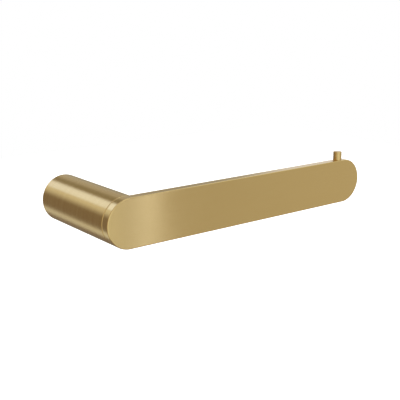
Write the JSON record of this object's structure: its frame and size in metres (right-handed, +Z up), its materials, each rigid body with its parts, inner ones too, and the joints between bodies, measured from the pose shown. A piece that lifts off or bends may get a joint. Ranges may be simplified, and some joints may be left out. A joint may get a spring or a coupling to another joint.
{
  "type": "toilet paper holder",
  "caption": "Wall-mounted open-ended toilet paper holder: a flat round-ended brass bar on a round post, with a short upright pin that keeps the roll on.",
  "frame": {"origin": "the post's axis at the wall's face, which is the middle of the bracket's back", "axes": "+X along the bar towards its free end, +Y into the wall, +Z up"},
  "size_m": [0.172, 0.065, 0.03],
  "materials": {
    "brushed_brass": "fine brushed satin, lacquered",
    "turned_brass": "as turned",
    "fastener_steel": "zinc plated"
  },
  "bodies": {
    "root": {"bar": "brushed_brass", "retaining_pin": "brushed_brass", "post_tube": "brushed_brass", "bar_boss": "turned_brass", "post_web": "turned_brass", "wall_bracket": "turned_brass", "dowel_left": "fastener_steel", "dowel_right": "fastener_steel", "flat_washer": "fastener_steel", "spring_washer": "fastener_steel", "clamp_screw": "fastener_steel", "grub_screw": "fastener_steel"}
  },
  "joints": []
}
